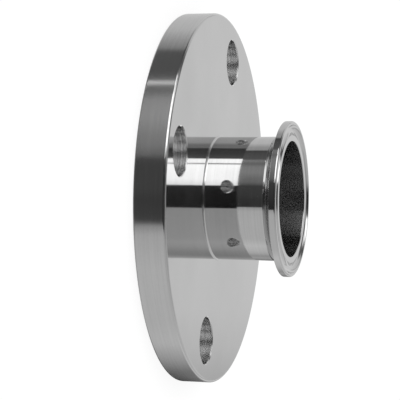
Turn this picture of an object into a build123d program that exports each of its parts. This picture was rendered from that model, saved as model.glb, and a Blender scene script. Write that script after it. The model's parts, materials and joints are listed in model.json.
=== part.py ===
"""Flange to clamp adapter for stainless steel tubing.

A drilled plate flange carries a short tube whose free end widens into a lip
with a gasket groove, the form that a two-piece pipe clamp grips. The tube
passes right through the plate. A small polished weld joins the two in front,
and a weld ground flush with the plate closes the joint at the back.

The origin is the centre of the plate's back face. +Z runs along the bore to
the clamp end. All sizes are in millimetres and degrees.
"""

import os
from math import radians, tan

from build123d import *

# Plate flange, drilled for a 2 inch class 150 pipe flange
flange_thickness = 12.7
rim_edge_break = 0.9
bolt_circle_diameter = 120.65
bolt_hole_diameter = 19.05
bolt_hole_to_rim = 6.35
bolt_hole_count = 4
bolt_hole_start_angle = 45.0
bolt_hole_edge_break = 0.4

# Tube, 2 inches outside with a 16 gauge wall
tube_diameter = 50.8
tube_wall = 1.65
tube_to_plate_clearance = 0.05
neck_length = 31.1

# Clamp lip round the tube's free end
lip_projection = 6.55
lip_edge_thickness = 2.85
lip_back_angle = 20.0
lip_back_fillet = 2.6
lip_rear_edge_break = 0.2
lip_front_edge_break = 0.5
bore_mouth_break = 0.3

# Gasket groove in the lip's face, and the sealing land inside it, which lies a little lower
groove_inset = 3.7
groove_floor_width = 1.5
groove_depth = 1.5
groove_side_angle = 45.0
inner_land_drop = 0.35

# Welds
fillet_weld_leg = 0.6
seal_weld_leg = 1.6

# Radii and heights that follow from the sizes above
tube_radius = tube_diameter / 2
bore_radius = tube_radius - tube_wall
plate_radius = bolt_circle_diameter / 2 + bolt_hole_diameter / 2 + bolt_hole_to_rim
plate_bore_radius = tube_radius + tube_to_plate_clearance
clamp_face = flange_thickness + neck_length
inner_land = clamp_face - inner_land_drop
lip_radius = tube_radius + lip_projection
lip_back_edge = clamp_face - lip_edge_thickness
lip_back_root = lip_back_edge - lip_projection * tan(radians(lip_back_angle))
groove_centre_radius = lip_radius - groove_inset
groove_floor = clamp_face - groove_depth
groove_mouth_width = groove_floor_width + 2 * groove_depth * tan(radians(groove_side_angle))


def corner(section, point):
    """The vertex of a section nearest to a point given as radius and height."""
    return section.vertices().sort_by_distance((*point, 0))[0]


os.makedirs("parts", exist_ok=True)

# Flange plate: a turned disc, bored for the tube and drilled for four bolts
with BuildPart() as flange_plate:
    with BuildSketch(Plane.XZ) as plate_section:
        with BuildLine():
            Polyline(
                (plate_bore_radius, flange_thickness),
                (plate_radius, flange_thickness),
                (plate_radius, 0),
                (plate_bore_radius + seal_weld_leg, 0),
                (plate_bore_radius, seal_weld_leg),
                close=True,
            )
        make_face()
        for height in (0, flange_thickness):
            chamfer(corner(plate_section, (plate_radius, height)), rim_edge_break)
    revolve(axis=Axis.Z)

    with Locations((0, 0, flange_thickness)):
        with PolarLocations(bolt_circle_diameter / 2, bolt_hole_count, bolt_hole_start_angle):
            Hole(bolt_hole_diameter / 2)
    hole_edges = flange_plate.edges(Select.LAST).filter_by(GeomType.CIRCLE)
    chamfer(hole_edges, bolt_hole_edge_break)
flange_plate.part.label = "flange_plate"

# Clamp ferrule: tube, neck fillet, bevelled lip and gasket groove in one turned section
with BuildPart() as clamp_ferrule:
    with BuildSketch(Plane.XZ) as ferrule_section:
        neck_corner = (tube_radius, lip_back_root)
        lip_rear_corner = (lip_radius, lip_back_edge)
        lip_front_corner = (lip_radius, clamp_face)
        bore_mouth = (bore_radius, inner_land)
        with BuildLine():
            Polyline(
                (bore_radius, 0),
                (tube_radius, 0),
                neck_corner,
                lip_rear_corner,
                lip_front_corner,
                (groove_centre_radius, clamp_face),
                (groove_centre_radius, inner_land),
                bore_mouth,
                close=True,
            )
        make_face()
        fillet(corner(ferrule_section, neck_corner), lip_back_fillet)
        chamfer(corner(ferrule_section, lip_front_corner), lip_front_edge_break)
        chamfer(corner(ferrule_section, lip_rear_corner), lip_rear_edge_break)
        chamfer(corner(ferrule_section, bore_mouth), bore_mouth_break)
        with BuildLine():
            Polyline(
                (groove_centre_radius - groove_mouth_width / 2, clamp_face),
                (groove_centre_radius - groove_floor_width / 2, groove_floor),
                (groove_centre_radius + groove_floor_width / 2, groove_floor),
                (groove_centre_radius + groove_mouth_width / 2, clamp_face),
                close=True,
            )
        make_face(mode=Mode.SUBTRACT)
    revolve(axis=Axis.Z)
clamp_ferrule.part.label = "clamp_ferrule"

# Fillet weld in front: a thin ring in the corner that runs out on both pieces
with BuildPart() as fillet_weld:
    with BuildSketch(Plane.XZ):
        with BuildLine():
            Polyline(
                (tube_radius, flange_thickness),
                (tube_radius + fillet_weld_leg, flange_thickness),
                (tube_radius, flange_thickness + fillet_weld_leg),
                close=True,
            )
        make_face()
    revolve(axis=Axis.Z)
fillet_weld.part.label = "fillet_weld"

# Seal weld at the back: fills the bevel round the plate's bore, flush with the back face
with BuildPart() as seal_weld:
    with BuildSketch(Plane.XZ):
        with BuildLine():
            Polyline(
                (tube_radius, 0),
                (plate_bore_radius + seal_weld_leg, 0),
                (plate_bore_radius, seal_weld_leg),
                (tube_radius, seal_weld_leg),
                close=True,
            )
        make_face()
    revolve(axis=Axis.Z)
seal_weld.part.label = "seal_weld"

export_step(flange_plate.part, "parts/flange_plate.step")
export_step(clamp_ferrule.part, "parts/clamp_ferrule.step")
export_step(fillet_weld.part, "parts/fillet_weld.step")
export_step(seal_weld.part, "parts/seal_weld.step")
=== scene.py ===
"""Looks of a flange to clamp adapter in polished stainless steel.

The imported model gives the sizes. Every surface here is worked out again as a
fine turned form, because a polished face shows each facet of a coarse mesh.
All lengths are metres, in the model's own frame: the flange's back face lies
on the floor, and +Z runs up the bore to the clamp lip.
"""

import json
from math import cos, radians, sin, tan

import bpy
import numpy as np
from bpy.props import FloatProperty, FloatVectorProperty, IntProperty, PointerProperty
from bpy.types import Operator, Panel, PropertyGroup
from mathutils import Matrix, Vector


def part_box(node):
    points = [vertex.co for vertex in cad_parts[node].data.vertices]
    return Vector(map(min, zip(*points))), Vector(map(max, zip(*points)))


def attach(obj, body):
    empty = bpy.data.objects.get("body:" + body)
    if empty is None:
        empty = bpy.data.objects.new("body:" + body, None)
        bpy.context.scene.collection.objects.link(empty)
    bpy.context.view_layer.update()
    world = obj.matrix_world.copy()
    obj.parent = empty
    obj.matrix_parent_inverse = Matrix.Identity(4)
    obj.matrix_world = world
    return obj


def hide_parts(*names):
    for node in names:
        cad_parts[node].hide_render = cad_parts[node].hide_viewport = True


bl_info = {
    "name": "Flange to clamp adapter",
    "version": (1, 0, 0),
    "blender": (4, 5, 0),
    "location": "3D View > Sidebar > Adapter",
    "description": "Builds a drilled plate flange with a welded clamp ferrule, and its studio",
    "category": "Add Mesh",
}

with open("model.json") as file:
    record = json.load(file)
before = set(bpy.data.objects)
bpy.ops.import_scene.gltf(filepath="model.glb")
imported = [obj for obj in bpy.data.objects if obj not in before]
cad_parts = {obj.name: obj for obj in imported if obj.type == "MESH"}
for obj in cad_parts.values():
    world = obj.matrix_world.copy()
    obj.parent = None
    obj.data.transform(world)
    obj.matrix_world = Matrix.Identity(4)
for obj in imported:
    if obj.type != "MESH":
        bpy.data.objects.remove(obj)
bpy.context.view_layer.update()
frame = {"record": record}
BODY = "root"
MM = 0.001
NEAR = 0.01 * MM  # how far from a radius a point may lie and still count as on it

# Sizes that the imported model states
mount_dims = {mount["name"]: mount["dims"] for mount in frame["record"]["mounts"]}
bolt_pattern = mount_dims["flange_bolts"]
plate_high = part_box("flange_plate")[1]
ferrule_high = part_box("clamp_ferrule")[1]
weld_low, weld_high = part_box("fillet_weld")
seal_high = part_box("seal_weld")[1]
fillet_leg = weld_high.z - weld_low.z
tube_radius = weld_high.x - fillet_leg
plate_bore_radius = seal_high.x - seal_high.z


def length(label, description, default):
    """A length in metres that shows in the panel in scene units."""
    return FloatProperty(
        name=label,
        description=description,
        default=default,
        precision=5,
        unit="LENGTH",
        subtype="DISTANCE",
    )


def angle(label, description, degrees):
    """An angle that is written in degrees and kept in radians."""
    return FloatProperty(
        name=label,
        description=description,
        default=radians(degrees),
        unit="ROTATION",
        subtype="ANGLE",
    )


def fraction(label, description, default):
    """A plain number between nought and one."""
    return FloatProperty(
        name=label,
        description=description,
        default=default,
        min=0.0,
        max=1.0,
        precision=3,
        subtype="FACTOR",
    )


# Ways in which a surface is made. A finish gives a surface's share of each way, in this
# order, and a polished surface has none of them.
WAYS = ("turned", "drilled", "bored")
POLISHED = (0.0, 0.0, 0.0)
TURNED = (1.0, 0.0, 0.0)
DRILLED = (0.0, 1.0, 0.0)
BORED = (0.0, 0.0, 1.0)


class AdapterFlangeSizes(PropertyGroup):
    """Sizes of the drilled plate flange."""

    radius: length("Radius", "Half the plate's diameter", plate_high.x)
    thickness: length("Thickness", "Thickness of the plate", plate_high.z)
    front_round: length("Front round", "Radius at the rim's front edge", 1.1 * MM)
    back_round: length("Back round", "Radius at the rim's back edge", 0.8 * MM)
    bolt_circle: length(
        "Bolt circle", "Radius of the circle of holes", bolt_pattern["pcd_mm"] / 2 * MM
    )
    bolt_hole: length("Bolt hole", "Radius of a bolt hole", bolt_pattern["hole_r_mm"] * MM)
    hole_bevel: length("Hole bevel", "Width of the bevel at a hole's two edges", 0.4 * MM)
    bolt_count: IntProperty(
        name="Bolt holes", description="Number of holes", default=bolt_pattern["count"]
    )
    first_hole: angle("First hole", "Turn of the first hole from +X", 45.0)


class AdapterFerruleSizes(PropertyGroup):
    """Sizes of the tube stub and its clamp lip."""

    tube_radius: length("Tube radius", "Outside radius of the tube", tube_radius)
    bore_radius: length("Bore radius", "Radius of the bore", mount_dims["bore"]["r_mm"] * MM)
    face_height: length("Face height", "Height of the lip's face", ferrule_high.z)
    lip_radius: length("Lip radius", "Radius of the clamp lip", ferrule_high.x)
    lip_edge: length("Lip edge", "Thickness of the lip at its edge", 2.85 * MM)
    lip_slope: angle("Lip slope", "Slope of the bevel behind the lip", 20.0)
    flare_middle: length("Flare middle", "Height about which the tube starts to widen", 27.5 * MM)
    flare_angle: angle("Flare angle", "Widening, as a slope up to the lip's rear edge", 0.8)
    flare_reach: length(
        "Flare reach", "Rough length of the flare's round on each side of its middle", 8.0 * MM
    )
    neck_fillet: length("Neck fillet", "Radius where the bevel meets the tube", 2.6 * MM)
    rear_round: length("Rear round", "Radius at the lip's rear edge", 0.2 * MM)
    front_round: length("Front round", "Radius at the lip's front edge", 0.8 * MM)
    mouth_round: length("Mouth round", "Radius at the mouth of the bore", 0.3 * MM)
    groove_inset: length("Groove inset", "From the lip's edge to the groove's middle", 3.7 * MM)
    groove_width: length("Groove width", "Width of the groove at the lip's face", 4.5 * MM)
    groove_depth: length("Groove depth", "Depth of the groove", 1.5 * MM)
    groove_slope: angle("Groove slope", "Slope of the groove's sides from upright", 25.0)
    outer_foot: length("Outer foot", "Radius at the foot of the groove's outer side", 2.3 * MM)
    inner_foot: length("Inner foot", "Radius at the foot of the groove's inner side", 1.75 * MM)
    groove_lip: length("Groove lip", "Radius at the groove's two edges", 0.2 * MM)
    land_drop: length("Land drop", "How far the inner land lies below the lip's edge", 0.35 * MM)


class AdapterWeldSizes(PropertyGroup):
    """Sizes of the two welds between tube and plate."""

    fillet_leg: length("Fillet leg", "Leg of the front weld", fillet_leg)
    fillet_radius: length("Fillet radius", "Radius of the front weld's hollow face", 0.85 * MM)
    seal_leg: length("Seal leg", "Depth of the back weld", seal_high.z)
    slip: length("Slip", "Gap between tube and plate", plate_bore_radius - tube_radius)


class AdapterFinish(PropertyGroup):
    """Colour and polish of the steel."""

    steel: FloatVectorProperty(
        name="Steel",
        description="Reflecting colour of the steel",
        default=(0.66, 0.66, 0.66),
        subtype="COLOR",
    )
    face_roughness: fraction("Face roughness", "Roughness of the plate's faces", 0.07)
    tube_roughness: fraction("Tube roughness", "Roughness of the ferrule", 0.05)
    weld_roughness: fraction("Weld roughness", "Roughness of the polished weld", 0.12)
    turned_roughness: fraction("Turned roughness", "Roughness of the turned rim", 0.15)
    drilled_roughness: fraction("Drilled roughness", "Roughness of the bolt holes", 0.22)
    # The bolt holes' colour is multiplied by this factor, which raises it above the steel's own:
    # painted light standing in for what the hole walls reflect.
    hole_painted_light: FloatProperty(
        name="Drilled tone",
        description="Brightness of the bolt holes",
        default=1.25,
        min=0.0,
        max=2.0,
    )
    bored_roughness: fraction("Bored roughness", "Roughness of the bore", 0.19)
    # The bore's colour is multiplied by this factor, which darkens it: painted shade in the bore, a
    # recess that little light reaches.
    bore_painted_shade: fraction("Bored tone", "Brightness of the bore", 0.50)
    mark_depth: length("Mark depth", "Depth of the turning marks", 0.009 * MM)
    ripple: length("Ripple", "Depth of the ripple left by polishing", 0.012 * MM)
    around_steps: IntProperty(name="Steps round", description="Steps round the axis", default=360)
    arc_steps: IntProperty(name="Arc steps", description="Steps along each small round", default=8)


class AdapterStudio(PropertyGroup):
    """Camera, floor and light."""

    azimuth: angle("Azimuth", "Direction of the camera from +X", 61.78)
    elevation: angle("Elevation", "Height of the camera above the floor", 16.03)
    roll: angle("Roll", "Turn of the camera about its own axis", 90.88)
    distance: length("Distance", "From the camera to its target", 636.63 * MM)
    target: FloatVectorProperty(
        name="Target",
        description="Point in the middle of the picture",
        default=(0.24 * MM, 2.46 * MM, 4.77 * MM),
        precision=5,
        subtype="TRANSLATION",
    )
    lens: FloatProperty(name="Lens", description="Focal length for a 36 mm sensor", default=137.95)
    floor_size: length("Floor", "Side of the floor", 8.0)
    lamp_size: length("Lamp size", "Side of the soft lamp", 1.2)
    lamp_power: FloatProperty(
        name="Lamp power", description="Power of the soft lamp in watts", default=6.0
    )


SETTINGS = {
    "adapter_flange": AdapterFlangeSizes,
    "adapter_ferrule": AdapterFerruleSizes,
    "adapter_welds": AdapterWeldSizes,
    "adapter_finish": AdapterFinish,
    "adapter_studio": AdapterStudio,
}


def rounded_section(corners, rounds, arc_steps):
    """Strips round a closed section, each a pair of arrays: points and normals.

    The corners are (radius, height) pairs, anticlockwise. A corner with round r
    is cut back by r * tan(turn / 2) on both sides. An arc bridges the cut, about
    the point that lies r from either side, and its normal swings from one side's
    normal to the other's. Each side is a strip of two points with one normal.
    """
    corners = np.asarray(corners, float)
    ahead = np.roll(corners, -1, axis=0) - corners
    ahead /= np.linalg.norm(ahead, axis=1)[:, None]
    behind = np.roll(ahead, 1, axis=0)
    turns = np.arctan2(
        behind[:, 0] * ahead[:, 1] - behind[:, 1] * ahead[:, 0], (behind * ahead).sum(axis=1)
    )
    cuts = np.asarray(rounds, float) * np.tan(np.abs(turns) / 2)
    strips = []
    for i, corner in enumerate(corners):
        side_normal = np.array([behind[i, 1], -behind[i, 0]])
        if rounds[i] > 0:
            reach = np.sign(turns[i]) * rounds[i]
            centre = corner - behind[i] * cuts[i] - side_normal * reach
            swing = np.linspace(0, turns[i], arc_steps + 1)
            normals = np.stack(
                (
                    side_normal[0] * np.cos(swing) - side_normal[1] * np.sin(swing),
                    side_normal[0] * np.sin(swing) + side_normal[1] * np.cos(swing),
                ),
                axis=1,
            )
            strips.append((centre + reach * normals, normals))
        following = (i + 1) % len(corners)
        side_start = corner + ahead[i] * cuts[i]
        side_end = corners[following] - ahead[i] * cuts[following]
        side_normal = np.array([ahead[i, 1], -ahead[i, 0]])
        strips.append((np.stack((side_start, side_end)), np.stack((side_normal, side_normal))))
    return strips


def lathe(strip, angles, centre=(0.0, 0.0)):
    """Carries a strip of a section round an upright axis.

    A point (r, z) at angle a goes to (r cos a, r sin a, z) plus the axis's place,
    and its normal turns with it.
    """
    points, normals = strip
    around = np.stack((np.cos(angles), np.sin(angles)), axis=-1)
    placed = np.empty((len(points), len(angles), 3))
    placed[:, :, :2] = points[:, None, :1] * around[None] + np.asarray(centre)
    placed[:, :, 2] = points[:, 1:]
    turned = np.empty_like(placed)
    turned[:, :, :2] = normals[:, None, :1] * around[None]
    turned[:, :, 2] = normals[:, 1:]
    return placed, turned


def full_turn(steps):
    """Angles once round, with the first repeated at the end."""
    return np.linspace(0, 2 * np.pi, steps + 1)


def sector_edge(sizes, inner_radius, outer_radius, steps, line_steps):
    """Outline of one hole's share of the plate's face, anticlockwise from a corner.

    It runs along the outer arc, in along a straight line, back along the inner
    arc and out again, about a hole that lies on +X.
    """
    half = np.pi / sizes.bolt_count
    sweep = np.linspace(-half, half, steps + 1)
    line = np.linspace(outer_radius, inner_radius, line_steps + 1)
    outer_arc = outer_radius * np.stack((np.cos(sweep), np.sin(sweep)), axis=1)
    inner_arc = inner_radius * np.stack((np.cos(sweep), np.sin(sweep)), axis=1)[::-1]
    line_in = line[1:-1, None] * np.array([[cos(half), sin(half)]])
    line_out = line[::-1][1:-1, None] * np.array([[cos(half), -sin(half)]])
    return np.concatenate((outer_arc, line_in, inner_arc, line_out, outer_arc[:1]))


def turn_about_axis(points, angle_of_turn):
    """Turns points about the Z axis, by the usual two by two rotation."""
    c, s = np.cos(angle_of_turn), np.sin(angle_of_turn)
    turned = points.copy()
    turned[..., 0] = c * points[..., 0] - s * points[..., 1]
    turned[..., 1] = s * points[..., 0] + c * points[..., 1]
    return turned


LEVEL = 1e-3  # an upright direction's share along a surface that counts as level


def across_grain(points, normals):
    """Unit vectors that lie in the surface and cross the tool's marks.

    Marks run round an upright axis, so the vector is what is left of +Z after its
    share along the normal is taken off. On a level face nothing is left of it, and
    the vector points away from the part's axis.
    """
    upright = np.array([0.0, 0.0, 1.0])
    across = upright - normals * normals[:, 2:]
    level = np.linalg.norm(across, axis=1) < LEVEL
    across[level] = points[level] * np.array([1.0, 1.0, 0.0])
    return across / np.linalg.norm(across, axis=1)[:, None]


# Points in the same cell of this size become one vertex. The shift, a share of a cell,
# keeps round sizes away from the cells' borders.
CELL = 0.001 * MM
CELL_SHIFT = 0.37


def make_piece(name, node, patches, material):
    """Joins grids of points into one closed mesh that stands for a CAD node.

    Each patch is (points, normals, finish), with a grid of points and a grid of
    normals. Four neighbours in the grid become a quad that faces along the
    normals. Points in the same small cell become one vertex, while each corner
    keeps its own patch's normal, so that edges are crisp and rounds are smooth.
    The finish and the direction across the grain go with each corner too.
    """
    points, normals, finishes, quads, start = [], [], [], [], 0
    for grid, grid_normals, finish in patches:
        flat = grid.reshape(-1, 3)
        flat_normals = grid_normals.reshape(-1, 3)
        number = np.arange(len(flat)).reshape(grid.shape[:2])
        around = (number[:-1, :-1], number[:-1, 1:], number[1:, 1:], number[1:, :-1])
        around = np.stack(around, axis=-1).reshape(-1, 4)
        first, second, third, fourth = flat[around.T]
        facing = (np.cross(third - first, fourth - second) * flat_normals[around[:, 0]]).sum(axis=1)
        around[facing < 0] = around[facing < 0][:, ::-1]
        points.append(flat)
        normals.append(flat_normals)
        finishes.append(np.tile(finish, (len(flat), 1)))
        quads.append(around + start)
        start += len(flat)
    points = np.concatenate(points)
    normals = np.concatenate(normals)
    finishes = np.concatenate(finishes)
    quads = np.concatenate(quads)

    cells = np.floor(points / CELL + CELL_SHIFT).astype(np.int64)
    _, chosen, vertex_of = np.unique(cells, axis=0, return_index=True, return_inverse=True)
    faces = vertex_of.reshape(-1)[quads]
    corners = quads.reshape(-1)
    mesh = bpy.data.meshes.new(name)
    mesh.from_pydata(points[chosen].tolist(), [], faces.tolist())
    mesh.shade_smooth()
    mesh.normals_split_custom_set(normals[corners].tolist())
    for column, way in enumerate(WAYS):
        layer = mesh.attributes.new(way, "FLOAT", "CORNER")
        layer.data.foreach_set("value", finishes[corners, column])
    layer = mesh.attributes.new("across", "FLOAT_VECTOR", "CORNER")
    layer.data.foreach_set("vector", across_grain(points, normals)[corners].reshape(-1))
    mesh.materials.append(material)
    piece = bpy.data.objects.new(name, mesh)
    bpy.context.scene.collection.objects.link(piece)
    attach(piece, BODY)
    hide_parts(node)


class NodeChain:
    """A short way to add shader nodes and link them."""

    def __init__(self, tree):
        self.tree = tree
        tree.nodes.clear()

    def add(self, kind, *links, **values):
        """Adds a node, links sockets in order and sets named values or sockets."""
        node = self.tree.nodes.new(kind)
        for key, value in values.items():
            if hasattr(node, key):
                setattr(node, key, value)
            else:
                self.feed(node.inputs[key.replace("_", " ")], value)
        for socket, source in zip(node.inputs, links):
            self.feed(socket, source)
        return node

    def feed(self, socket, value):
        """Links an output to a socket, or sets the socket's own value."""
        if isinstance(value, bpy.types.NodeSocket):
            self.tree.links.new(value, socket)
        else:
            socket.default_value = value

    def math(self, operation, first, second):
        """One sum on two numbers."""
        return self.add("ShaderNodeMath", first, second, operation=operation).outputs[0]

    def times(self, *numbers):
        """The product of two or more numbers."""
        product = numbers[0]
        for number in numbers[1:]:
            product = self.math("MULTIPLY", product, number)
        return product

    def spread(self, value, low, high, to_low, to_high):
        """Maps a range of a number to another range, and holds it at the ends."""
        return self.add("ShaderNodeMapRange", value, low, high, to_low, to_high).outputs[0]

    def blend(self, factor, first, second, kind="FLOAT"):
        """Mixes two numbers by a factor, or two colours where the kind is RGBA."""
        node = self.add("ShaderNodeMix", data_type=kind)
        for name, value in (("Factor", factor), ("A", first), ("B", second)):
            self.feed(node.inputs[name], value)
        return node.outputs["Result"]

    def attribute(self, name):
        """The outputs that read one of the mesh's corner attributes."""
        return self.add("ShaderNodeAttribute", attribute_name=name).outputs

    def noise(self, where, scale, detail):
        """A noise value from nought to one."""
        node = self.add("ShaderNodeTexNoise", Vector=where, Scale=scale, Detail=detail)
        return node.outputs["Fac"]

    def lines(self, where, scales, detail):
        """Noise that is drawn out along the axes with the smaller scales."""
        drawn_out = self.add("ShaderNodeMapping", Vector=where, Scale=scales).outputs[0]
        return self.noise(drawn_out, 1.0, detail)


# Noise in the steel, as marks for each metre, along x, y and z where they differ, and
# the number of finer layers on top
TOOL_MARKS = ((7.0, 7.0, 480.0), 4.0)
POLISH_LINES = ((28.0, 28.0, 1300.0), 2.0)
DRILL_LINES = ((60.0, 60.0, 2200.0), 1.0)
FACE_RINGS = (3800.0, 3.0)
RIPPLES = (120.0, 1.0)
CLOUDS = (30.0, 5.0)
SPECKS = (900.0, 2.0)

# A range of such noise, and the factors of brightness or roughness that it becomes
CLOUD_TONE = (0.25, 0.75, 0.975, 1.02)
SPECK_TONE = (0.2, 0.8, 0.985, 1.01)
POLISH_TONE = (0.3, 0.7, 0.96, 1.03)
DRILL_TONE = (0.3, 0.7, 0.72, 1.18)
CLOUD_ROUGHNESS = (0.3, 0.7, 0.85, 1.2)

# Depth of the rings on a face, how far each way's marks line up, from nought to one,
# and how metallic the bore is
FACE_RING_DEPTH = 0.00012 * MM
LINED_UP = {"turned": 0.95, "drilled": 0.75, "bored": 0.95}
BORED_METAL = 0.97


def steel_material(name, finish, polished, ways=()):
    """Polished steel with a slow ripple, tool marks and light handling marks.

    Tool marks run round the axis: noise on (x, y, z) whose z is drawn out far more
    than x and y, and on level faces noise on the distance from the axis. They spread
    a reflection across themselves and keep it sharp along themselves, which the
    shader's anisotropy does with the corner attribute "across" as its tangent. The
    ways are those in which parts of the piece are made, other than by polishing.
    """
    material = bpy.data.materials.new(name)
    material.use_nodes = True
    chain = NodeChain(material.node_tree)
    where = chain.add("ShaderNodeTexCoord").outputs["Object"]
    share = {way: chain.attribute(way)["Fac"] for way in ways}

    # Ripple left by the polishing wheel, cloudy handling marks, and fine lines
    ripple = chain.noise(where, *RIPPLES)
    clouds = chain.noise(where, *CLOUDS)
    specks = chain.noise(where, *SPECKS)
    polish_lines = chain.lines(where, *POLISH_LINES)
    parts = chain.add("ShaderNodeSeparateXYZ", where).outputs
    squares = [chain.times(parts[axis], parts[axis]) for axis in ("X", "Y")]
    from_axis = chain.math("POWER", chain.math("ADD", *squares), 0.5)
    rings = chain.noise(chain.add("ShaderNodeCombineXYZ", from_axis).outputs[0], *FACE_RINGS)

    tone = chain.times(
        chain.spread(clouds, *CLOUD_TONE),
        chain.spread(specks, *SPECK_TONE),
        chain.spread(polish_lines, *POLISH_TONE),
    )
    ring_height = chain.times(rings, FACE_RING_DEPTH)
    height = chain.math("ADD", ring_height, chain.times(ripple, finish.ripple))
    rough = chain.times(chain.spread(clouds, *CLOUD_ROUGHNESS), polished)
    lined_up, metal = 0.0, 1.0
    for way in ways:
        rough = chain.blend(share[way], rough, getattr(finish, way + "_roughness"))
        lined_up = chain.math("ADD", lined_up, chain.times(share[way], LINED_UP[way]))
        if way == "bored":
            # In the bore the colour is multiplied by the bore's tone factor, which darkens it:
            # painted shade.
            tone = chain.times(tone, chain.spread(share[way], 0.0, 1.0, 1.0, finish.bore_painted_shade))
            metal = chain.spread(share[way], 0.0, 1.0, 1.0, BORED_METAL)
        else:
            marks = chain.lines(where, *TOOL_MARKS)
            height = chain.math("ADD", height, chain.times(marks, share[way], finish.mark_depth))
        if way == "drilled":
            streaks = chain.spread(chain.lines(where, *DRILL_LINES), *DRILL_TONE)
            # The drill streaks are marks in the steel. The factor on top of them lightens the
            # holes' colour, which is painted light.
            streaks = chain.times(streaks, finish.hole_painted_light)
            tone = chain.times(tone, chain.blend(share[way], 1.0, streaks))

    red, green, blue = (chain.times(tone, level) for level in finish.steel)
    shader = chain.add(
        "ShaderNodeBsdfPrincipled",
        Base_Color=chain.add("ShaderNodeCombineColor", red, green, blue).outputs[0],
        Metallic=metal,
        Roughness=rough,
        Anisotropic=lined_up,
        Tangent=chain.attribute("across")["Vector"],
        Normal=chain.add("ShaderNodeBump", Distance=1.0, Height=height).outputs[0],
    )
    chain.add("ShaderNodeOutputMaterial", shader.outputs[0])
    return material


# Steps from a bolt hole's edge out over the plate's face, and along a side of its share
FACE_STEPS = 4
SECTOR_SIDE_STEPS = 14


class ADAPTER_OT_flange_plate(Operator):
    """Build the turned and drilled plate flange"""

    bl_idname = "adapter.flange_plate"
    bl_label = "Flange plate"

    def execute(self, context):
        sizes = context.scene.adapter_flange
        welds = context.scene.adapter_welds
        finish = context.scene.adapter_finish
        tube = context.scene.adapter_ferrule.tube_radius
        bore = tube + welds.slip
        bevel = welds.seal_leg
        corners = (
            (bore + bevel, 0.0),
            (sizes.radius, 0.0),
            (sizes.radius, sizes.thickness),
            (bore, sizes.thickness),
            (bore, bevel),
        )
        rounds = (0.0, sizes.back_round, sizes.front_round, 0.0, 0.0)
        strips = rounded_section(corners, rounds, finish.arc_steps)
        turn = full_turn(finish.around_steps) + sizes.first_hole + np.pi / sizes.bolt_count
        patches = []
        for points, normals in strips:
            if np.ptp(points[:, 1]) > 0:
                on_rim = points[:, 0].min() > sizes.radius - sizes.front_round - NEAR
                patches.append((*lathe((points, normals), turn), TURNED if on_rim else POLISHED))

        patches += self.drilled_faces(sizes, (bore + bevel, bore), finish)
        material = steel_material(
            "polished_flange_steel", finish, finish.face_roughness, ("turned", "drilled")
        )
        make_piece("flange", "flange_plate", patches, material)
        return {"FINISHED"}

    def drilled_faces(self, sizes, inner_radii, finish):
        """The two faces and the hole walls, one hole's share at a time.

        Each share of a face is a grid between the hole's edge and the share's own
        outline: a point runs straight from the one to the other. The wall is a
        section turned about the hole's axis, at the same directions.
        """
        steps = finish.around_steps // sizes.bolt_count
        hole_centre = np.array([sizes.bolt_circle, 0.0])
        outward = np.linspace(0, 1, FACE_STEPS + 1)[:, None, None]
        bevel = sizes.hole_bevel
        edge_radius = sizes.bolt_hole + bevel
        middle = sizes.thickness / 2
        patches = []
        for height, inner_radius, edge_round, facing in (
            (0.0, inner_radii[0], sizes.back_round, -1.0),
            (sizes.thickness, inner_radii[1], sizes.front_round, 1.0),
        ):
            outer_radius = sizes.radius - edge_round
            outline = sector_edge(sizes, inner_radius, outer_radius, steps, SECTOR_SIDE_STEPS)
            direction = outline - hole_centre
            bearing = np.arctan2(direction[:, 1], direction[:, 0])
            rim = np.stack((np.cos(bearing), np.sin(bearing)), axis=1)
            hole_edge = hole_centre + edge_radius * rim
            flat = np.zeros((len(outward), len(outline), 3))
            flat[:, :, :2] = hole_edge * (1 - outward) + outline * outward
            flat[:, :, 2] = height
            upright = np.zeros_like(flat)
            upright[:, :, 2] = facing
            section = (
                (sizes.bolt_hole, middle),
                (sizes.bolt_hole, height - facing * bevel),
                (edge_radius, height),
                (edge_radius + bevel, height),
                (edge_radius + bevel, middle),
            )
            anticlockwise = section[:: -int(facing)]
            shapes = [(flat, upright, POLISHED)]
            for strip in rounded_section(anticlockwise, (0.0,) * len(section), finish.arc_steps):
                radii, heights = strip[0].T
                if radii.max() <= edge_radius + NEAR and np.ptp(heights) > 0:
                    shapes.append((*lathe(strip, bearing, hole_centre), DRILLED))
            for number in range(sizes.bolt_count):
                turn = sizes.first_hole + 2 * np.pi * number / sizes.bolt_count
                for grid, grid_normals, way in shapes:
                    turned = turn_about_axis(grid, turn), turn_about_axis(grid_normals, turn)
                    patches.append((*turned, way))
        return patches


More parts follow.
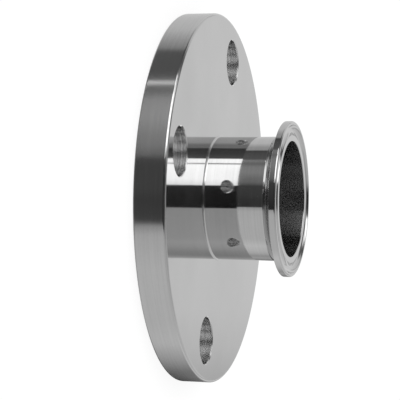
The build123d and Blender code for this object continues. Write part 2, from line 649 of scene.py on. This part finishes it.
class ADAPTER_OT_clamp_ferrule(Operator):
    """Build the tube stub with its bevelled lip and gasket groove"""

    bl_idname = "adapter.clamp_ferrule"
    bl_label = "Clamp ferrule"

    def execute(self, context):
        sizes = context.scene.adapter_ferrule
        finish = context.scene.adapter_finish
        lip_back = sizes.face_height - sizes.lip_edge
        flared_radius = sizes.tube_radius + (lip_back - sizes.flare_middle) * tan(sizes.flare_angle)
        lip_root = lip_back - (sizes.lip_radius - flared_radius) * tan(sizes.lip_slope)
        middle = sizes.lip_radius - sizes.groove_inset
        half_mouth = sizes.groove_width / 2
        half_floor = half_mouth - sizes.groove_depth * tan(sizes.groove_slope)
        floor_height = sizes.face_height - sizes.groove_depth
        land_height = sizes.face_height - sizes.land_drop
        land_edge = middle - half_mouth + sizes.land_drop * tan(sizes.groove_slope)
        outline = (
            (sizes.bore_radius, 0.0, 0.0),
            (sizes.tube_radius, 0.0, 0.0),
            (sizes.tube_radius, sizes.flare_middle, sizes.flare_reach / tan(sizes.flare_angle / 2)),
            (flared_radius, lip_root, sizes.neck_fillet),
            (sizes.lip_radius, lip_back, sizes.rear_round),
            (sizes.lip_radius, sizes.face_height, sizes.front_round),
            (middle + half_mouth, sizes.face_height, sizes.groove_lip),
            (middle + half_floor, floor_height, sizes.outer_foot),
            (middle - half_floor, floor_height, sizes.inner_foot),
            (land_edge, land_height, sizes.groove_lip),
            (sizes.bore_radius, land_height, sizes.mouth_round),
        )
        corners = [point[:2] for point in outline]
        rounds = [point[2] for point in outline]
        turn = full_turn(finish.around_steps)
        strips = rounded_section(corners, rounds, finish.arc_steps)
        patches = []
        for points, normals in strips:
            in_bore = points[:, 0].max() < sizes.bore_radius + NEAR
            patches.append((*lathe((points, normals), turn), BORED if in_bore else POLISHED))
        material = steel_material(
            "polished_ferrule_steel", finish, finish.tube_roughness, ("bored",)
        )
        make_piece("ferrule", "clamp_ferrule", patches, material)
        return {"FINISHED"}


class ADAPTER_OT_welds(Operator):
    """Build the front fillet weld and the flush weld at the back"""

    bl_idname = "adapter.welds"
    bl_label = "Welds"

    def execute(self, context):
        sizes = context.scene.adapter_welds
        finish = context.scene.adapter_finish
        tube = context.scene.adapter_ferrule.tube_radius
        plate_face = context.scene.adapter_flange.thickness
        turn = full_turn(finish.around_steps)
        material = steel_material("polished_weld_steel", finish, finish.weld_roughness)

        toe = tube + sizes.fillet_leg
        top = plate_face + sizes.fillet_leg
        strips = [
            (np.array([(tube, top), (tube, plate_face)]), np.array([(-1.0, 0.0)] * 2)),
            (np.array([(tube, plate_face), (toe, plate_face)]), np.array([(0.0, -1.0)] * 2)),
            self.hollow_face(toe, plate_face, sizes, finish),
        ]
        patches = [(*lathe(strip, turn), POLISHED) for strip in strips]
        make_piece("front_weld", "fillet_weld", patches, material)

        bore, depth = tube + sizes.slip, sizes.seal_leg
        seal = ((tube, 0.0), (bore + depth, 0.0), (bore, depth), (tube, depth))
        strips = rounded_section(seal, (0.0,) * len(seal), finish.arc_steps)
        patches = [(*lathe(strip, turn), POLISHED) for strip in strips]
        make_piece("back_weld", "seal_weld", patches, material)
        return {"FINISHED"}

    def hollow_face(self, toe, plate_face, sizes, finish):
        """The weld's concave face, an arc between its two toes.

        Its centre lies on the line that halves the corner, radius away from both
        toes, and the normal points from the arc towards that centre.
        """
        leg, radius = sizes.fillet_leg, sizes.fillet_radius
        half_chord = leg / 2**0.5
        depth = (radius**2 - half_chord**2) ** 0.5
        halfway = np.array([toe - leg / 2, plate_face + leg / 2])
        centre = halfway + depth / 2**0.5
        spread = np.arcsin(half_chord / radius)
        towards_corner = radians(225)
        bearing = towards_corner + np.linspace(spread, -spread, finish.arc_steps + 1)
        outward = np.stack((np.cos(bearing), np.sin(bearing)), axis=1)
        return centre + radius * outward, -outward


# Brightness of the studio's cards by azimuth from the camera's own, as (degrees, level)
# pairs, in rows from low to high. Each row holds between the two heights beside its
# name in CARD_ROWS, on a sphere of radius one, and blends into the next. Below the
# rows is an even ground, and above them an even ceiling. The levels are the studio's
# light, set until the steel mirrored it as the photograph's steel does.
GROUND = (0.15, 0.15, 0.15, 1.0)
GROUND_HEIGHT = -0.99
FLOOR_CARDS = (
    (-180, 0.50), (-130, 0.30), (-110, 0.25), (-40, 0.22), (-28, 0.11), (26, 0.09), (34, 0.40),
    (180, 0.50),
)
FOOT_CARDS = (
    (-180, 0.61), (-133, 0.60), (-125, 0.56), (-114, 0.43), (-106, 0.28), (-101, 0.13),
    (-80, 0.095), (-75.2, 0.14), (-74.6, 1.15), (-73.2, 1.15), (-72.6, 0.11), (-68, 0.12),
    (-61, 0.34), (-50, 0.36), (-38, 0.25), (-31, 0.225), (-25.5, 0.16), (-23, 0.070),
    (-6, 0.082), (2, 0.063), (11, 0.080), (14, 0.09), (18, 0.32), (23, 0.51), (45, 0.625),
    (95, 0.60), (103, 0.57), (108, 0.48), (126, 0.23), (136, 0.12), (146, 0.02), (180, 0.01),
)
LOW_CARDS = (
    (-180, 0.67), (-150, 0.63), (-124, 0.62), (-116, 0.49), (-110, 0.39), (-102, 0.37),
    (-99, 0.067), (-92, 0.09), (-78, 0.11), (-75, 0.23), (-71, 0.22), (-67, 0.175), (-60, 0.26),
    (-49, 0.265), (-37, 0.187), (-30, 0.16), (-23, 0.06), (0, 0.040), (15.8, 0.024),
    (16.6, 0.44), (24, 0.54), (80, 0.56), (88, 0.61), (98, 0.67), (114, 0.60), (122, 0.53),
    (134, 0.37), (144, 0.42), (150, 0.36), (158, 0.24), (166, 0.32), (174, 0.64),
)
# Two tall lamps between dark screens, which stand in the next two rows
LAMPS = (
    (-105.5, 0.06), (-92, 0.075), (-78.8, 0.12), (-77.8, 1.95), (-68.6, 1.95), (-67.6, 0.50),
    (-65.4, 0.50), (-64.6, 2.05), (-36, 1.87), (-24, 1.6), (-23, 0.035), (-12, 0.016),
    (18.4, 0.009), (19.4, 0.47),
)
MIDDLE_CARDS = (
    (-180, 0.75), (-128, 0.72), (-117, 0.40), (-108, 0.27), *LAMPS, (80, 0.56), (95, 0.72),
    (150, 0.76), (180, 0.70),
)
HIGH_CARDS = (
    (-180, 0.70), (-171, 0.69), (-164, 0.54), (-158, 0.46), (-128, 0.47), (-123, 0.36),
    (-117, 0.25), (-108, 0.27), *LAMPS, (80, 0.51), (92, 0.56), (104, 0.52), (122, 0.39),
    (137, 0.33), (152, 0.40), (158, 0.50), (173.6, 0.50), (174.8, 0.69), (180, 0.70),
)
BROW_CARDS = (
    (-180, 0.70), (-142, 0.72), (-130, 0.50), (-117, 0.25), (-105.5, 0.06), (-92, 0.075),
    (-78.8, 0.12), (-77.8, 1.95), (-36, 1.9), (-24, 1.6), (-23, 0.14), (18.4, 0.13),
    (19.4, 0.47), (92, 0.56), (122, 0.45), (152, 0.55), (180, 0.70),
)
SHOULDER_CARDS = (
    (-180, 0.70), (-124, 0.62), (-114, 0.45), (-105, 0.10), (-90, 0.12), (-84, 0.35),
    (-79, 0.45), (-74, 1.2), (-62, 2.0), (-33, 2.0), (-29, 0.25), (-26, 0.06), (21, 0.03),
    (23, 0.42), (60, 0.52), (150, 0.62), (180, 0.70),
)
CREST_CARDS = (
    (-180, 0.50), (-166, 0.30), (-155, 0.15), (-104, 0.12), (-96, 0.30), (-84, 0.70),
    (-76, 1.2), (-64, 1.9), (-38, 1.9), (-32, 0.25), (-26, 0.07), (20, 0.05), (27, 0.45),
    (45, 0.60), (150, 0.62), (180, 0.50),
)
UPPER_CARDS = (
    (-180, 0.45), (-158, 0.25), (-120, 0.10), (-114, 0.40), (-109, 1.1), (-80, 1.1), (-65, 1.7),
    (-42, 1.8), (-34, 0.25), (-26, 0.10), (-18, 0.03), (12, 0.03), (18, 0.20), (26, 0.40),
    (40, 0.56), (70, 0.52), (110, 0.45), (140, 0.55), (165, 0.62), (180, 0.45),
)
TOP_CARDS = (
    (-180, 0.12), (-90, 0.15), (-80, 0.30), (-72, 0.80), (-56, 0.80), (-48, 0.25), (-36, 0.08),
    (-24, 0.03), (25, 0.02), (48, 0.35), (150, 0.50), (180, 0.12),
)
CARD_ROWS = (
    (-0.97, -0.78, FLOOR_CARDS),
    (-0.62, -0.28, FOOT_CARDS),
    (-0.265, -0.05, LOW_CARDS),
    (0.05, 0.19, MIDDLE_CARDS),
    (0.25, 0.2885, HIGH_CARDS),
    (0.294, 0.301, BROW_CARDS),
    (0.320, 0.56, SHOULDER_CARDS),
    (0.65, 0.69, CREST_CARDS),
    (0.76, 0.82, UPPER_CARDS),
    (0.90, 0.97, TOP_CARDS),
)
CEILING = (0.30, 0.30, 0.30, 1.0)
CEILING_HEIGHT = 0.99

# The rest of the studio
WHITE = (1.0, 1.0, 1.0, 1.0)
PALE = (0.92, 0.92, 0.92, 1.0)
FLOOR_GLOW = 0.85  # share of the floor's look that is an even white
FLOOR_DROP = 0.05 * MM  # how far the floor lies beneath the plate's back face
SHADED_FLOOR_DROP = 0.02 * MM  # the same for the floor beneath the bore
SHADED_FLOOR_SIDES = 96
LAMP_PLACE = (0.35, -0.25, 1.3)


class ADAPTER_OT_studio(Operator):
    """Set up the floor, the soft light, the reflected studio and the camera"""

    bl_idname = "adapter.studio"
    bl_label = "Studio"

    def execute(self, context):
        studio = context.scene.adapter_studio
        self.add_camera(context.scene, studio)
        self.add_floor(context.scene, studio)
        self.add_shaded_floor(context.scene)
        self.add_lamp(context.scene, studio)
        self.add_world(context.scene, studio)
        context.scene.view_settings.view_transform = "Standard"
        return {"FINISHED"}

    def add_camera(self, scene, studio):
        """Places the camera by azimuth, elevation and distance, then rolls it."""
        level = cos(studio.elevation)
        back = Vector(
            (level * cos(studio.azimuth), level * sin(studio.azimuth), sin(studio.elevation))
        )
        flat_right = Vector((0, 0, 1)).cross(back).normalized()
        flat_up = back.cross(flat_right)
        right = cos(studio.roll) * flat_right + sin(studio.roll) * flat_up
        up = back.cross(right)
        place = Vector(studio.target) + back * studio.distance
        turn = Matrix((right, up, back)).transposed().to_4x4()
        camera = bpy.data.objects.new("camera", bpy.data.cameras.new("camera"))
        camera.data.lens = studio.lens
        camera.data.clip_start = 10 * MM
        camera.matrix_world = Matrix.Translation(place) @ turn
        scene.collection.objects.link(camera)
        scene.camera = camera

    def lay_floor(self, scene, name, outline):
        """A level piece of floor with the outline's corners, and its empty material."""
        mesh = bpy.data.meshes.new(name)
        mesh.from_pydata(outline, [], [tuple(range(len(outline)))])
        material = bpy.data.materials.new("pale_" + name)
        material.use_nodes = True
        mesh.materials.append(material)
        floor = bpy.data.objects.new(name, mesh)
        scene.collection.objects.link(floor)
        return NodeChain(material.node_tree)

    def add_floor(self, scene, studio):
        """A pale level floor. Mirrors see the studio through it."""
        half = studio.floor_size / 2
        corners = ((-half, -half), (half, -half), (half, half), (-half, half))
        chain = self.lay_floor(scene, "floor", [(x, y, -FLOOR_DROP) for x, y in corners])
        paths = chain.add("ShaderNodeLightPath").outputs
        matt = chain.add("ShaderNodeBsdfDiffuse", PALE).outputs[0]
        glow = chain.add("ShaderNodeEmission", WHITE, 1.0).outputs[0]
        pale = chain.add("ShaderNodeMixShader", FLOOR_GLOW, matt, glow).outputs[0]
        plain = chain.add("ShaderNodeMixShader", paths["Is Camera Ray"], matt, pale).outputs[0]
        clear = chain.add("ShaderNodeBsdfTransparent").outputs[0]
        seen = chain.add("ShaderNodeMixShader", paths["Is Glossy Ray"], plain, clear).outputs[0]
        chain.add("ShaderNodeOutputMaterial", seen)

    def add_shaded_floor(self, scene):
        """A round of floor beneath the bore, which gets light only through the bore."""
        turn = full_turn(SHADED_FLOOR_SIDES)[:-1]
        reach = scene.adapter_ferrule.tube_radius
        corners = np.stack((reach * np.cos(turn), reach * np.sin(turn)), axis=1).tolist()
        outline = [(x, y, -SHADED_FLOOR_DROP) for x, y in corners]
        chain = self.lay_floor(scene, "shaded_floor", outline)
        matt = chain.add("ShaderNodeBsdfDiffuse", PALE)
        chain.add("ShaderNodeOutputMaterial", matt.outputs[0])

    def add_lamp(self, scene, studio):
        """One large soft lamp above, which the steel doesn't mirror."""
        data = bpy.data.lights.new("soft_lamp", "AREA")
        data.shape = "SQUARE"
        data.size = studio.lamp_size
        data.energy = studio.lamp_power
        lamp = bpy.data.objects.new("soft_lamp", data)
        lamp.location = LAMP_PLACE
        lamp.rotation_euler = Vector(LAMP_PLACE).to_track_quat("Z", "Y").to_euler()
        lamp.visible_glossy = False
        scene.collection.objects.link(lamp)

    def add_world(self, scene, studio):
        """An even white world for the floor, and tall cards for the steel to mirror.

        The cards are bands of brightness by azimuth, in rows by height. The world
        isn't sampled as a lamp, because that would light the steel with the white
        that is meant for the floor.
        """
        world = bpy.data.worlds.new("studio")
        world.use_nodes = True
        world.cycles.sampling_method = "NONE"
        scene.world = world
        chain = NodeChain(world.node_tree)
        direction = chain.add("ShaderNodeTexCoord").outputs["Generated"]
        facing = chain.add(
            "ShaderNodeVectorRotate",
            rotation_type="Z_AXIS",
            Vector=direction,
            Angle=-studio.azimuth,
        )
        parts = chain.add("ShaderNodeSeparateXYZ", facing.outputs[0]).outputs
        azimuth = chain.math("ARCTAN2", parts["Y"], parts["X"])
        share = chain.spread(azimuth, -np.pi, np.pi, 0.0, 1.0)
        mirrored, top = GROUND, GROUND_HEIGHT
        for low, high, levels in CARD_ROWS:
            risen = chain.spread(parts["Z"], top, low, 0.0, 1.0)
            mirrored = chain.blend(risen, mirrored, self.card_row(chain, share, levels), "RGBA")
            top = high
        risen = chain.spread(parts["Z"], top, CEILING_HEIGHT, 0.0, 1.0)
        mirrored = chain.blend(risen, mirrored, CEILING, "RGBA")
        glossy = chain.add("ShaderNodeLightPath").outputs["Is Glossy Ray"]
        even = chain.add("ShaderNodeBackground", WHITE, 1.0).outputs[0]
        cards = chain.add("ShaderNodeBackground", mirrored, 1.0).outputs[0]
        either = chain.add("ShaderNodeMixShader", glossy, even, cards)
        chain.add("ShaderNodeOutputWorld", either.outputs[0])

    def card_row(self, chain, share, levels):
        """A colour ramp with one grey stop for each (degrees, level) pair."""
        ramp = chain.add("ShaderNodeValToRGB", share)
        stops = ramp.color_ramp.elements
        while len(stops) < len(levels):
            stops.new(1.0)
        for stop, (degrees, level) in zip(stops, levels):
            stop.position = (degrees + 180) / 360
            stop.color = (level, level, level, 1.0)
        return ramp.outputs["Color"]


OPERATORS = (
    ADAPTER_OT_flange_plate,
    ADAPTER_OT_clamp_ferrule,
    ADAPTER_OT_welds,
    ADAPTER_OT_studio,
)


class ADAPTER_PT_sidebar(Panel):
    """Lists the adapter's pieces and their sizes"""

    bl_idname = "ADAPTER_PT_sidebar"
    bl_label = "Flange to clamp adapter"
    bl_space_type = "VIEW_3D"
    bl_region_type = "UI"
    bl_category = "Adapter"

    def draw(self, context):
        for group in SETTINGS:
            box = self.layout.box()
            settings = getattr(context.scene, group)
            for name in settings.bl_rna.properties.keys():
                if name not in ("rna_type", "name"):
                    box.prop(settings, name)
        for operator in OPERATORS:
            self.layout.operator(operator.bl_idname)


CLASSES = (*SETTINGS.values(), *OPERATORS, ADAPTER_PT_sidebar)


def register():
    """Registers the classes and hangs the settings on the scene."""
    for each in CLASSES:
        bpy.utils.register_class(each)
    for name, group in SETTINGS.items():
        setattr(bpy.types.Scene, name, PointerProperty(type=group))


def unregister():
    """Takes the settings and the classes away again."""
    for name in SETTINGS:
        delattr(bpy.types.Scene, name)
    for each in reversed(CLASSES):
        bpy.utils.unregister_class(each)


def main():
    """Builds every piece and the studio."""
    register()
    bpy.ops.adapter.flange_plate()
    bpy.ops.adapter.clamp_ferrule()
    bpy.ops.adapter.welds()
    bpy.ops.adapter.studio()


if __name__ == "__main__":
    main()
